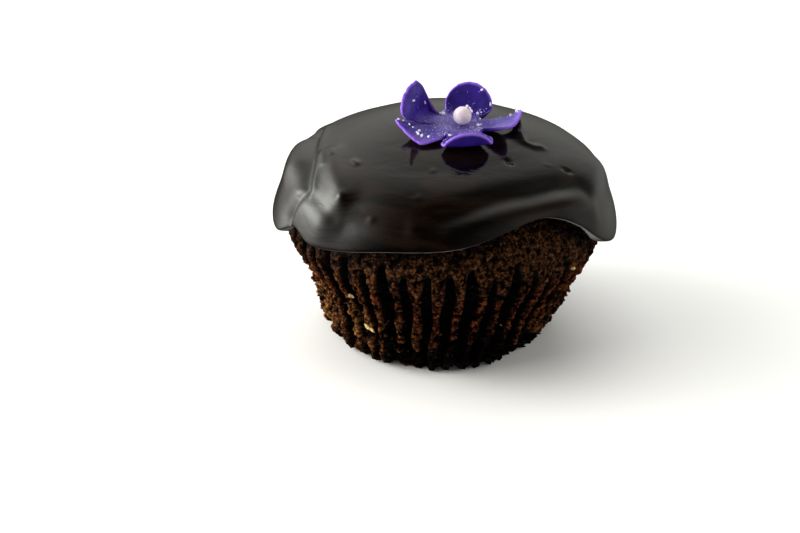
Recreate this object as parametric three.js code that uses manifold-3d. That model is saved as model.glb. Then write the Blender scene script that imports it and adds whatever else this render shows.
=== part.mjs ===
// A chocolate cupcake that has come out of its fluted paper case: a dark sponge cake, a thick
// poured chocolate glaze, a purple sugar-paste flower and a sugar pearl.
// Millimetres, +Z up. The front of the cupcake faces -Y. Azimuths are in degrees from +X.
import * as THREE from 'three';
import { ImprovedNoise } from 'three/addons/math/ImprovedNoise.js';
import { mergeVertices } from 'three/addons/utils/BufferGeometryUtils.js';
import Module from 'manifold-3d';

// Outside of the glaze over the cake, as radius and height, from the top down
const DOME = [[0, 48], [5.5, 47.3], [11, 45.9], [16.3, 44.1], [21.5, 42.1], [26.7, 39.9],
  [31.2, 36.5], [33.8, 31.6], [35.8, 26.3], [36.6, 21]];
const GLAZE_THICK = 2.5;
const GLAZE_GAP = 0.5;
const LIP_BULGE = 0.1;
const LIP_WIDE = 2.6;

// Height of the glaze's lower edge round the cake: azimuth, height
const RIM = [[-173, 26.4], [-160, 25.9], [-149, 29.4], [-138, 28], [-110, 30.6], [-87, 31.9],
  [-71, 34.2], [-57, 35.1], [-43, 31.6], [-31, 26.4], [-18, 24.3], [-4, 27.6], [12, 30.4],
  [35, 29.2], [62, 26.6], [95, 30.6], [128, 27], [160, 29.6]];

// Wall of the cake, as radius and height, from the foot up to just under the glaze
const FOOT_RADIUS = 19;
const WALL = [[23.6, 0], [25.4, 1.8], [26.6, 5], [28, 10], [29.6, 15], [31.8, 20], [32.8, 23.5]];
const SHOULDER_RADII = [34, 28.5, 22, 12, 0];
const UNDER_GLAZE = 7;
const LEAN = 1.2;
const LEAN_HEIGHT = 20;

// Marks of the paper case's pleats in the wall: how many, how deep, how high they reach, over
// what height they fade out, half their width as a share of the pleats' spacing, how much they
// differ, and where they reach higher or lower, as azimuth, width in degrees and height
const PLEATS = 48;
const PLEAT_DEPTH = 2.3;
const PLEAT_TOP = 28;
const PLEAT_FADE = 15;
const PLEAT_HALF_WIDTH = 0.31;
const UNEVEN_TOP = 1.2;
const UNEVEN_DEPTH = 0.15;
const PLEAT_TOP_SHIFTS = [[-158, 20, 2.5], [-42, 16, -3]];

// At its foot the wall was pressed in less: up to what height, and by what share
const FOOT_HEIGHT = 4;
const FOOT_SHARE = 0.55;

// Roughness of the crumb: size and depth of its coarse and its fine lumps
const CRUMB_COARSE = 4.4;
const COARSE_DEEP = 0.5;
const CRUMB_FINE = 2.1;
const FINE_DEEP = 0.35;
const MOST_OUT = 0.5;

// Places where the wall stuck to the paper and tore: azimuth, height, width in degrees, depth
const TEARS = [[-160, 9, 22, 1.7], [-128, 8, 13, 1.2], [-106, 3, 9, 1], [-42, 4, 12, 0.9],
  [70, 8, 16, 1.3]];
const TEAR_HIGH = 8;
const TEAR_EVEN = 0.55;
const TEAR_LUMPS = 1.3;
const TEAR_LUMP_SIZE = 3.5;

// Between these heights the glaze starts to cover the wall, and the crumb there is flatter
const COVER_FROM = 20;
const COVER_TO = 24;
const COVERED_SHARE = 0.4;

// Flower: middle of its underside on the glaze, and how far it leans forward with the dome
const FLOWER_X = 2.8;
const FLOWER_Y = -10;
const FLOWER_LEAN = THREE.MathUtils.degToRad(12);
const FLOWER_GAP = 0.3;
const PASTE_THICK = 1;
const EDGE_THIN = 0.55;

// Petals: where each points, its length and half width, how far its fold is turned off its
// own direction, how far out it starts to bend up, over what length and how far, the curl
// of its end, the cupping across it, the twist that lifts one side, how far out the notches on
// its two sides are, and its straight edges, each as a direction from the petal's middle line
// and a distance from the middle of the flower
const PETALS = [
  { at: 3, long: 12.6, half: 3.2, turn: 0, from: 4, over: 5, bend: 8, curl: 66, cup: 0.02,
    twist: -0.24, notches: [4.4, 4.4], cuts: [] },
  { at: 75, long: 11.4, half: 4.7, turn: 0, from: 3.6, over: 4.5, bend: 66, curl: 16, cup: 0.035,
    twist: 0, notches: [4.4, 6.6], cuts: [] },
  { at: 163, long: 16.8, half: 4.9, turn: -25, from: 6, over: 4, bend: 76, curl: 16, cup: 0.03,
    twist: 0, notches: [6.6, 8.2], cuts: [[2, 15.6]] },
  { at: 198, long: 15.4, half: 5.2, turn: -20, from: 5, over: 6, bend: 20, curl: 14, cup: 0.01,
    twist: -0.24, notches: [8.2, 5], cuts: [[30, 9.1], [89, 3.1]] },
  { at: 276, long: 10.2, half: 5, turn: 0, from: 6, over: 1.8, bend: 74, curl: 0, cup: 0,
    twist: 0, notches: [5, 4.4], cuts: [] },
];
const CURL_LONG = 4.5;
const LIFT_FROM = 3.6;
const LIFT_TO = 8.6;
const MOST_SLANT = 0.2;
const PEARL_RADIUS = 1.75;
const PEARL_GAP = 0.1;

// Larger grains of sugar on the petals: petal, distance out, degrees off its middle, size
const GRAINS = [[3, 11.8, -15, 0.9], [3, 10.2, -10, 0.8], [3, 8.6, -2, 1], [3, 7.8, 7, 1],
  [2, 5.4, -27, 1], [0, 11, 4, 0.8], [1, 8.6, -26, 0.8], [4, 5.4, -34, 0.8]];

const rad = THREE.MathUtils.degToRad;
const smooth = (x, from, to) => THREE.MathUtils.smoothstep(x, from, to);
const bell = (x) => Math.exp(-x * x);
const turnBetween = (a, b) => THREE.MathUtils.euclideanModulo(a - b + 180, 360) - 180;

// A smooth curve through points that are given as [place, value, value, ...]
function curveThrough(points) {
  const slope = (i, k) => {
    const before = points[Math.max(i - 1, 0)];
    const after = points[Math.min(i + 1, points.length - 1)];
    return (after[k] - before[k]) / (after[0] - before[0]);
  };
  return (place) => {
    let i = 0;
    while (i < points.length - 2 && place > points[i + 1][0]) i += 1;
    const [from, to] = [points[i], points[i + 1]];
    const span = to[0] - from[0];
    const t = THREE.MathUtils.clamp((place - from[0]) / span, 0, 1);
    const mix = (k) => {
      const [a, b] = [slope(i, k) * span, slope(i + 1, k) * span];
      return (2 * t ** 3 - 3 * t ** 2 + 1) * from[k] + (t ** 3 - 2 * t ** 2 + t) * a
        + (3 * t ** 2 - 2 * t ** 3) * to[k] + (t ** 3 - t ** 2) * b;
    };
    return from.slice(1).map((_, k) => mix(k + 1));
  };
}

// An outline of [radius, height] points, read by the distance along it
function outline(points) {
  let far = 0;
  const stations = points.map((point, i) => {
    if (i > 0) far += Math.hypot(point[0] - points[i - 1][0], point[1] - points[i - 1][1]);
    return [far, ...point];
  });
  return { at: curveThrough(stations), long: far };
}

const dome = outline(DOME);
const rimHeight = (() => {
  const wrap = (turn) => RIM.map(([azimuth, height]) => [azimuth + turn, height]);
  const read = curveThrough([...wrap(-360), ...wrap(0), ...wrap(360)]);
  return (azimuth) => read(turnBetween(azimuth, 0))[0];
})();

// A point under the dome's outside: distance from the top along it, azimuth, depth below it
function underDome(far, azimuth, deep) {
  const step = 0.05;
  const [r, z] = dome.at(far);
  const [ra, za] = dome.at(Math.max(far - step, 0));
  const [rb, zb] = dome.at(far + step);
  const slant = Math.atan2(zb - za, rb - ra);
  const radius = Math.max(r + Math.sin(slant) * deep, 0);
  const a = rad(azimuth);
  return new THREE.Vector3(radius * Math.cos(a), radius * Math.sin(a), z - Math.cos(slant) * deep);
}

function rimDistance(azimuth) {
  const height = rimHeight(azimuth);
  let [low, high] = [0, dome.long];
  for (let i = 0; i < 30; i += 1) {
    const middle = (low + high) / 2;
    if (dome.at(middle)[1] > height) low = middle;
    else high = middle;
  }
  return (low + high) / 2;
}

// Folds and ridges that the glaze set in, on the dome rolled out flat: each a path of
// [azimuth, distance from the top], its half width, and its height, which is below nought
// for a hollow. A fold with a side acts to that side of its path only.
const FOLDS = [
  { path: [[164, 27.8], [-176, 27.2], [-160, 29], [-147, 33.6], [-151, 40.9]], wide: 3.2,
    high: -1.5, side: -1 },
  { path: [[164, 27.8], [-176, 27.2], [-160, 29], [-147, 33.6]], wide: 1.6, high: 0.5, side: 1 },
  { path: [[170, 33.5], [-172, 33.5]], wide: 4, high: 0.9 },
  { path: [[-158, 25.5], [-144, 28.2], [-131, 31.8]], wide: 2.4, high: 0.85 },
  { path: [[-150, 37], [-136, 38.2]], wide: 4.2, high: 0.8 },
  { path: [[-96, 33.9], [-87, 32.4], [-74, 30.2], [-60, 30.2], [-35, 32.7]], wide: 2.4,
    high: -0.8 },
  { path: [[-88, 36.6], [-76, 34.3], [-62, 33.2], [-48, 34.4], [-35, 37.4]], wide: 2.8,
    high: 0.5 },
  { path: [[-126, 36.4], [-106, 35.3]], wide: 2.2, high: -0.45 },
  { path: [[-30, 27], [-26, 36]], wide: 5, high: 0.9 },
  { path: [[20, 26], [34, 29.5], [60, 31], [84, 28]], wide: 2.4, high: -0.9 },
  { path: [[100, 33], [126, 36], [148, 34]], wide: 2.2, high: 0.8 },
];
const STEP_WIDE = 1.2;

function rolledOut(azimuth, far) {
  return new THREE.Vector2(far * Math.cos(rad(azimuth)), far * Math.sin(rad(azimuth)));
}

function foldHeight(place, fold) {
  let nearest = Infinity;
  let side = 1;
  for (let i = 1; i < fold.path.length; i += 1) {
    const from = rolledOut(...fold.path[i - 1]);
    const along = rolledOut(...fold.path[i]).sub(from);
    const offset = place.clone().sub(from);
    const t = THREE.MathUtils.clamp(offset.dot(along) / along.lengthSq(), 0, 1);
    const away = offset.clone().addScaledVector(along, -t).length();
    if (away < nearest) {
      nearest = away;
      side = Math.sign(along.cross(offset));
    }
  }
  const share = fold.side ? smooth(nearest * side * fold.side, -STEP_WIDE, STEP_WIDE) : 1;
  return fold.high * share * bell(nearest / fold.wide);
}

function glazeRelief(far, azimuth) {
  const place = rolledOut(azimuth, far);
  return FOLDS.reduce((sum, fold) => sum + foldHeight(place, fold), 0);
}

// A closed skin: rings of points between two poles, the one that is outside and on top first
function skin(rings, first, last) {
  const columns = rings[0].length;
  const places = [first, ...rings.flat(), last];
  const faces = [];
  const id = (ring, column) => 1 + ring * columns + (column % columns);
  for (let c = 0; c < columns; c += 1) {
    faces.push(0, id(0, c), id(0, c + 1));
    for (let r = 0; r < rings.length - 1; r += 1) {
      const [a, b, d, e] = [id(r, c), id(r + 1, c), id(r + 1, c + 1), id(r, c + 1)];
      const shortAB = places[a].distanceTo(places[d]) < places[b].distanceTo(places[e]);
      faces.push(...(shortAB ? [a, b, d, a, d, e] : [a, b, e, b, d, e]));
    }
    faces.push(id(rings.length - 1, c), places.length - 1, id(rings.length - 1, c + 1));
  }
  const geometry = new THREE.BufferGeometry();
  const numbers = places.flatMap((p) => p.toArray());
  geometry.setAttribute('position', new THREE.Float32BufferAttribute(numbers, 3));
  geometry.setIndex(faces);
  geometry.computeVertexNormals();
  return geometry;
}

const evenly = (count, make) => Array.from({ length: count }, (_, i) => make(i));

// The glaze: down the outside, round the lip and back up over the cake
function glazeGeometry() {
  const columns = 90;
  const outerRows = 17;
  const lipRows = 3;
  const innerShares = [1, 0.94, 0.88, 0.81, 0.73, 0.58, 0.35];
  const azimuths = evenly(columns, (c) => -180 + (360 * c) / columns);
  const rims = azimuths.map(rimDistance);
  const half = GLAZE_THICK / 2;
  const ring = (place) => azimuths.map((azimuth, c) => place(azimuth, rims[c] - half));
  const outer = evenly(outerRows, (i) => ring((azimuth, edge) => {
    const far = edge * ((i + 1) / outerRows);
    const bulge = LIP_BULGE * bell((far - edge + half) / LIP_WIDE);
    return underDome(far, azimuth, -glazeRelief(far, azimuth) - bulge);
  }));
  const lip = evenly(lipRows, (i) => ring((azimuth, edge) => {
    const turn = (Math.PI * (i + 1)) / (lipRows + 1);
    const fade = (1 + Math.cos(turn)) / 2;
    const bulge = (LIP_BULGE * bell(half / LIP_WIDE) + glazeRelief(edge, azimuth)) * fade;
    return underDome(edge + half * Math.sin(turn), azimuth, half - half * Math.cos(turn) - bulge);
  }));
  const inner = innerShares.map((share) => ring((azimuth, edge) => (
    underDome(edge * share, azimuth, GLAZE_THICK))));
  return skin([...outer, ...lip, ...inner], underDome(0, 0, 0), underDome(0, 0, GLAZE_THICK));
}

// The cake's outline runs up its wall and on under the glaze
const cakeOutline = (() => {
  const step = 0.1;
  const shoulder = SHOULDER_RADII.map((radius) => {
    let far = 0;
    while (underDome(far, 0, 0).x < radius) far += step;
    const point = underDome(far, 0, GLAZE_THICK + GLAZE_GAP);
    return [point.x, point.z];
  });
  return outline([...WALL, ...shoulder]);
})();

const noise = new ImprovedNoise();
const NOISE_START = 40;

function crumb(point, grain) {
  const [x, y, z] = point.toArray().map((value) => value / grain + NOISE_START);
  return noise.noise(x, y, z);
}

// How deep the wall is pressed in by the pleats at an azimuth and height
function pleatDepth(azimuth, height) {
  const turn = ((azimuth + 90) * PLEATS) / 360;
  const pleat = Math.round(turn);
  const phase = Math.abs(turn - pleat);
  const uneven = Math.sin(pleat * 2.4);
  const shift = PLEAT_TOP_SHIFTS.reduce((sum, [at, wide, high]) => (
    sum + high * bell(turnBetween(azimuth, at) / wide)), 0);
  const top = PLEAT_TOP + shift + UNEVEN_TOP * uneven;
  const foot = FOOT_SHARE + (1 - FOOT_SHARE) * smooth(height, 0, FOOT_HEIGHT);
  const along = (1 - smooth(height, top - PLEAT_FADE, top)) * foot;
  const across = Math.max(0, 1 - phase / PLEAT_HALF_WIDTH);
  return PLEAT_DEPTH * (1 + UNEVEN_DEPTH * uneven) * along * across;
}

function tearDepth(azimuth, height) {
  return TEARS.reduce((deep, [at, z, wide, most]) => (
    Math.max(deep, most * bell(turnBetween(azimuth, at) / wide) * bell((height - z) / TEAR_HIGH))), 0);
}

function cakePoint(far, azimuth) {
  const [radius, height] = cakeOutline.at(far);
  const a = rad(azimuth);
  const lean = LEAN * (smooth(height, 0, LEAN_HEIGHT) - 1);
  const flat = new THREE.Vector3(radius * Math.cos(a), radius * Math.sin(a), height);
  const tear = tearDepth(azimuth, height);
  const rough = COARSE_DEEP * crumb(flat, CRUMB_COARSE) + FINE_DEEP * crumb(flat, CRUMB_FINE);
  const torn = Math.max(tear * (TEAR_EVEN + TEAR_LUMPS * crumb(flat, TEAR_LUMP_SIZE)), 0);
  const pressed = pleatDepth(azimuth, height) * (1 - 0.5 * Math.min(tear, 1));
  const covered = smooth(height, COVER_FROM, COVER_TO);
  const inward = (pressed + torn - rough) * (1 - covered)
    + Math.max(-rough, 0) * COVERED_SHARE * covered;
  const reach = radius - Math.min(Math.max(inward, -MOST_OUT), radius);
  return new THREE.Vector3(reach * Math.cos(a) + lean, reach * Math.sin(a), height);
}

function cakeGeometry() {
  const phases = [0, 0.27, 0.5, 0.73];
  const azimuths = evenly(PLEATS * phases.length, (c) => {
    const turn = Math.floor(c / phases.length) + phases[c % phases.length];
    return -90 + (turn * 360) / PLEATS;
  });
  const wallRows = 14;
  const shoulderRows = 3;
  const wallEnd = outline(WALL).long + UNDER_GLAZE;
  const ring = (far) => azimuths.map((azimuth) => cakePoint(far, azimuth));
  const wall = evenly(wallRows, (i) => ring((wallEnd * i) / (wallRows - 1)));
  const rest = cakeOutline.long - wallEnd;
  const shoulder = evenly(shoulderRows, (i) => (
    ring(wallEnd + (rest * (i + 1)) / (shoulderRows + 1))));
  const foot = azimuths.map((azimuth) => new THREE.Vector3(
    FOOT_RADIUS * Math.cos(rad(azimuth)) - LEAN, FOOT_RADIUS * Math.sin(rad(azimuth)), 0));
  const top = cakePoint(cakeOutline.long, 0);
  return skin([foot, ...wall, ...shoulder].reverse(), top, new THREE.Vector3(-LEAN, 0, 0));
}

// Height of the glaze's outside over a place near the top
function glazeHeight(x, y) {
  const radius = Math.hypot(x, y);
  const azimuth = THREE.MathUtils.radToDeg(Math.atan2(y, x));
  let far = radius;
  for (let i = 0; i < 6; i += 1) far += radius - dome.at(far)[0];
  return underDome(far, azimuth, -glazeRelief(far, azimuth)).z;
}

// Where a spot of the rolled-out flower goes once its petals are bent, and which way it
// faces, in the directions of the petal's fold
function bentPetal(petal, far, angle) {
  const out = far * Math.cos(angle - rad(petal.turn));
  const across = far * Math.sin(angle - rad(petal.turn));
  const steps = 24;
  let [x, z, slope] = [Math.min(out, petal.from), 0, 0];
  const step = Math.max(out - petal.from, 0) / steps;
  for (let i = 0; i < steps; i += 1) {
    const here = petal.from + step * (i + 0.5);
    const curl = petal.curl * smooth(here, petal.long - CURL_LONG, petal.long);
    slope = rad(petal.bend * smooth(here, petal.from, petal.from + petal.over) + curl);
    x += step * Math.cos(slope);
    z += step * Math.sin(slope);
  }
  const begun = smooth(out, LIFT_FROM, LIFT_TO);
  const lift = begun * (petal.cup * across * across + petal.twist * across);
  const spot = new THREE.Vector3(x - Math.sin(slope) * lift, across, z + Math.cos(slope) * lift);
  const up = new THREE.Vector3(-Math.sin(slope), 0, Math.cos(slope));
  return { spot, up };
}

// Outline of a petal: how far out it reaches at an angle from its middle line
function petalReach(petal, angle) {
  const notch = petal.notches[angle < 0 ? 0 : 1];
  const centre = petal.long - petal.half;
  const turned = Math.sin(angle) * centre;
  const blade = Math.cos(angle) * centre + Math.sqrt(Math.max(petal.half ** 2 - turned ** 2, 0));
  const round = Math.abs(turned) < petal.half ? blade : notch;
  const cuts = petal.cuts.map(([way, off]) => (
    off / Math.max(Math.cos(angle - rad(way)), MOST_SLANT)));
  return Math.max(notch, Math.min(round, ...cuts));
}

function placeOnFlower(petal, spot) {
  const a = rad(petal.at + petal.turn);
  const base = glazeHeight(FLOWER_X, FLOWER_Y) + FLOWER_GAP + PASTE_THICK / 2;
  const turned = new THREE.Vector3(spot.x * Math.cos(a) - spot.y * Math.sin(a),
    spot.x * Math.sin(a) + spot.y * Math.cos(a), spot.z);
  turned.applyAxisAngle(new THREE.Vector3(1, 0, 0), FLOWER_LEAN);
  return turned.add(new THREE.Vector3(FLOWER_X, FLOWER_Y, base));
}

function flowerGeometry() {
  const perPetal = 12;
  const rings = 6;
  const spread = 0.8;
  const columns = PETALS.flatMap((petal, p) => {
    const before = PETALS[(p + PETALS.length - 1) % PETALS.length];
    const after = PETALS[(p + 1) % PETALS.length];
    const left = turnBetween(before.at, petal.at) / 2;
    const right = turnBetween(after.at, petal.at) / 2;
    return evenly(perPetal, (i) => {
      const share = (1 - Math.cos((Math.PI * i) / perPetal)) / 2;
      const angle = rad(left + (right - left) * share);
      return { petal, angle, reach: i === 0 ? petal.notches[0] : petalReach(petal, angle) };
    });
  });
  const sheet = (share, side) => columns.map(({ petal, angle, reach }) => {
    const { spot, up } = bentPetal(petal, reach * share, angle);
    const half = (PASTE_THICK / 2) * (share === 1 ? EDGE_THIN : 1);
    return placeOnFlower(petal, spot.addScaledVector(up, side * half));
  });
  const shares = evenly(rings, (i) => ((i + 1) / rings) ** spread);
  const over = shares.map((share) => sheet(share, 1));
  const under = shares.map((share) => sheet(share, -1)).reverse();
  const hub = (side) => (
    placeOnFlower(PETALS[0], new THREE.Vector3(0, 0, (side * PASTE_THICK) / 2)));
  return skin([...over, ...under], hub(1), hub(-1));
}

// Joins closed bodies into one
const wasm = await Module();
wasm.setup();

function asSolid(geometry) {
  const bare = geometry.clone();
  bare.deleteAttribute('normal');
  bare.deleteAttribute('uv');
  const merged = mergeVertices(bare, 1e-5);
  return new wasm.Manifold(new wasm.Mesh({
    numProp: 3,
    vertProperties: merged.attributes.position.array,
    triVerts: new Uint32Array(merged.index.array),
  }));
}

function joined(geometries) {
  const solid = geometries.map(asSolid).reduce((whole, next) => whole.add(next));
  const { vertProperties, triVerts } = solid.getMesh();
  const geometry = new THREE.BufferGeometry();
  geometry.setAttribute('position', new THREE.BufferAttribute(vertProperties, 3));
  geometry.setIndex(new THREE.BufferAttribute(triVerts, 1));
  geometry.computeVertexNormals();
  return geometry;
}

function grainGeometry([index, far, angle, size], order) {
  const petal = PETALS[index];
  const { spot, up } = bentPetal(petal, far, rad(angle));
  const place = placeOnFlower(petal, spot.addScaledVector(up, PASTE_THICK / 2));
  const grain = new THREE.BoxGeometry(size, size * 0.8, size * 0.9);
  grain.rotateX(order).rotateZ(order * 2.1);
  return grain.translate(place.x, place.y, place.z);
}

function pearlGeometry() {
  const pearl = new THREE.IcosahedronGeometry(PEARL_RADIUS, 3);
  const lift = PASTE_THICK / 2 + PEARL_GAP + PEARL_RADIUS;
  const rest = placeOnFlower(PETALS[0], new THREE.Vector3(0, 0, lift));
  return pearl.translate(rest.x, rest.y, rest.z);
}

function piece(name, geometry, color, roughness) {
  const material = new THREE.MeshStandardMaterial({ color, roughness, metalness: 0 });
  const mesh = new THREE.Mesh(geometry, material);
  mesh.name = name;
  return mesh;
}

const cupcake = new THREE.Group();
cupcake.add(
  piece('cake', cakeGeometry(), 0x3b1f10, 0.95),
  piece('glaze', glazeGeometry(), 0x1d1210, 0.15),
  piece('flower', joined([flowerGeometry(), ...GRAINS.map(grainGeometry)]), 0x5b3fb0, 0.7),
  piece('pearl', pearlGeometry(), 0xe6dbe2, 0.35),
);

// The cupcake stands on the middle of its own floor area
const box = new THREE.Box3().setFromObject(cupcake);
const middle = box.getCenter(new THREE.Vector3());
cupcake.position.set(-middle.x, -middle.y, -box.min.z);

export default cupcake;
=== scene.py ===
"""A chocolate cupcake with a poured glaze, a sugar-paste flower and a sugar pearl."""
import math
import random

import bmesh
import bpy
import numpy as np
from mathutils import Matrix, Vector, noise
from mathutils.bvhtree import BVHTree


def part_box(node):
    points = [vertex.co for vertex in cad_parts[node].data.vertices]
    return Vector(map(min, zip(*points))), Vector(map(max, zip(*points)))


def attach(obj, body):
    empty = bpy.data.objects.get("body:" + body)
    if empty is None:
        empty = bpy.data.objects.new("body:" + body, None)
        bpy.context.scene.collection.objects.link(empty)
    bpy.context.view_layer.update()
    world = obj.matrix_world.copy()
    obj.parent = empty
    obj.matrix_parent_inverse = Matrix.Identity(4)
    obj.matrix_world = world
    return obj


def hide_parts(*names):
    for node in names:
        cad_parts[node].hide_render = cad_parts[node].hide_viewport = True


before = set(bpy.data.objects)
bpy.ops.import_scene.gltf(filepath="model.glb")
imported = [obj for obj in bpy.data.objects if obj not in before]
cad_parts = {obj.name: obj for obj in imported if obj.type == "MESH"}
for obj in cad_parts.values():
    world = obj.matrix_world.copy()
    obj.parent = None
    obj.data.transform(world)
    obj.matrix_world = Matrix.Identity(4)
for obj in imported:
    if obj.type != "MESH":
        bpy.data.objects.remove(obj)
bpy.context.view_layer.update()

# The drawing below is in millimetres and azimuths are in degrees from +X, as a baker would
# turn the cake on a stand. The front of the cupcake faces -Y.
MM = 0.001

RANDOM_SEED = 7

# Outside of the glaze, as radius and height, from the top down; the steps that it is read in,
# how far it is eased and how many times as far the easing looks; how thick the glaze is, and
# its gap over the cake
DOME = [(0, 48), (5.5, 47.3), (11, 45.9), (16.3, 44.1), (21.5, 42.1), (26.7, 39.9),
        (31.2, 36.5), (33.8, 31.6), (35.8, 26.3), (36.6, 21)]
DOME_STEPS = 1200
DOME_EASE = 1.5
EASE_REACH = 3
GLAZE_THICK = 2.5
GLAZE_GAP = 0.5

# Lip of the glaze: how square it is, and how far it bulges where the glaze hangs heaviest
LIP_SQUARE = 0.35
LIP_BULGE = 0.1
LIP_WIDE = 2.6
HEAVY_AT = -146
HEAVY_SPREAD = 30

# Height of the glaze's lower edge round the cake: azimuth, height
RIM = [(-173, 26.4), (-160, 25.9), (-149, 29.4), (-138, 28), (-110, 30.6), (-87, 31.9), (-71, 34.2),
       (-57, 35.1), (-43, 31.6), (-31, 26.4), (-18, 24.3), (-4, 27.6), (12, 30.4), (35, 29.2),
       (62, 26.6), (95, 30.6), (128, 27), (160, 29.6)]

# Wall of the cake, as radius and height, from the foot up to just under the glaze, with the
# radius of the foot's flat part, the radii of the shoulder under the glaze, and how far the
# foot stands to the left, up to what height
FOOT_RADIUS = 19
WALL = [(23.6, 0), (25.4, 1.8), (26.6, 5), (28, 10), (29.6, 15), (31.8, 20), (32.8, 23.5)]
SHOULDER_RADII = [34, 28.5, 22, 12, 0]
LEAN = 1.2
LEAN_HEIGHT = 20

# Marks of the paper case's pleats in the wall: slots that narrow to a point and grow shallow
# towards their tops and the foot. Their half width is a share of the distance between two, and
# their flat middle is a share of that.
PLEATS = 48
PLEAT_DEPTH = 2.3
PLEAT_TOP = 27
PLEAT_HALF_WIDTH = 0.38
PLEAT_FLAT = 0.35
PLEAT_POINT = 8
POINT_LEAST = 0.02
PLEAT_TOP_FADE = 3
PLEAT_FOOT_FADE = 5
PLEAT_AT_FOOT = 0.6

# How the pleats differ: steps that set one apart from the next, the change in depth, width and
# height, how each wanders as it rises, and where they reach higher or lower: azimuth, spread, rise
UNEVEN_STEP = 2.4
UNEVEN_DEPTH = 0.15
UNEVEN_WIDTH = 0.2
UNEVEN_TOP = 1.2
WANDER = 0.05
WANDER_STEP = 1.7
WANDER_RISE = 0.5
PLEAT_RISES = [(-158, 20, 2.5), (-42, 16, -3)]

# Places where the wall stuck to the paper and tore: azimuth, height, width in degrees, depth;
# how tall they are, how much of the depth is even and how much follows the chunks and the
# lumps, and how much of a pleat they take away
TEARS = [(-160, 9, 22, 1.7), (-128, 8, 13, 1.2), (-106, 3, 9, 1), (-42, 4, 12, 0.9), (70, 8, 16, 1.3)]
TEAR_TALL = 8
TEAR_PLAIN = 0.25
TEAR_CHUNKS = 0.9
TEAR_LUMPS = 1.1
TEAR_OVER_PLEAT = 0.55

# Forms of the crumb, as their size and the seed of their noise, and how far each goes in or
# stands out. Breaks are taller than they are wide.
CHUNKS = (2.7, 15.0)
CLUMPS = (1.8, 3.0)
CRUMBS = (0.95, 8.0)
LUMPS = (4.4, 40.0)
GRAIN = (2.1, 40.0)
FINE_GRIT = (0.55, 12.0)
PORES = (0.95, 25.0)
BREAKS = (4.6, 61.0)
CLUMP_DEPTH = 0.45
CLUMP_LEVEL = 0.55
CRUMB_DEPTH = 0.28
CRUMB_LEVEL = 0.5
LUMP_HEIGHT = 0.4
GRAIN_HEIGHT = 0.25
GRIT_HEIGHT = 0.12
PORE_DEPTH = 0.75
PORE_EDGE = (0.14, 0.42)
BREAK_DEPTH = 0.9
BREAK_LEVEL = 1.3
BREAK_EDGE = (0.05, 0.35)
BREAK_TALL = (1, 1, 0.5)

# Heights over which the baked skin sets in, the breaks and the painted shade at the foot end, and
# the glaze covers the wall; how much the skin evens the crumb; how far under the glaze the fine
# rows go on; how far the crumb may stand out, in the open and under the glaze
SKIN_HEIGHTS = (17, 27)
BREAK_HEIGHTS = (5, 13)
FOOT_SHADE_HEIGHTS = (2, 14)
COVER_HEIGHTS = (20, 24)
SKIN_EVENS = 0.5
UNDER_GLAZE = 14
MOST_OUT = 0.5
COVERED_OUT = 0.25

# How dark the crumb looks: plain, and the painted shade that its hollows, the foot and a band
# just below the glaze add; what a torn place takes off, how much of its own colour it shows, and
# how much of a pleat's painted shade it hides
DARK_PLAIN = 0.32
HOLLOW_SHADE = 0.9
FOOT_SHADE = 0.4
SHADE_UNDER_GLAZE = 0.14
SHADE_BELOW_RIM = (5, 1)
PALER_TORN = 0.12
TORN_SHOWS = 0.85
TORN_HIDES_PLEAT = 0.4

# Easing of the glaze's skin, as times and factor, and of the step beside a one-sided fold
GLAZE_EASING = (6, 0.5)
STEP_WIDE = 1.2

# Folds that the glaze set in, on the dome rolled out flat: each a path of (azimuth, distance
# from the top), its half width, its height, which is below nought for a hollow, and the side
# of the path that it acts on, or nought for both
FOLDS = [
    ([(164, 27.8), (-176, 27.2), (-160, 29), (-147, 33.6), (-151, 40.9)], 3.2, -1.5, -1),
    ([(164, 27.8), (-176, 27.2), (-160, 29), (-147, 33.6)], 1.6, 0.5, 1),
    ([(170, 33.5), (-172, 33.5)], 4, 0.9, 0),
    ([(-158, 25.5), (-144, 28.2), (-131, 31.8)], 2.4, 0.85, 0),
    ([(-146, 34.2), (-131, 36.3)], 1.4, -0.3, 0),
    ([(-150, 37), (-136, 38.2)], 4.2, 0.8, 0),
    ([(-96, 33.9), (-87, 32.4), (-74, 30.2), (-60, 30.2), (-35, 32.7)], 2.4, -0.8, 0),
    ([(-88, 36.6), (-76, 34.3), (-62, 33.2), (-48, 34.4), (-35, 37.4)], 2.8, 0.5, 0),
    ([(-126, 36.4), (-106, 35.3)], 2.2, -0.45, 0),
    ([(-46, 35), (-28, 34.5), (-8, 34)], 4, 0.8, 0),
    ([(20, 33.5), (34, 35.5), (60, 36), (84, 34)], 2.4, -0.9, 0),
    ([(100, 33), (126, 36), (148, 34)], 2.2, 0.8, 0),
]

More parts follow.
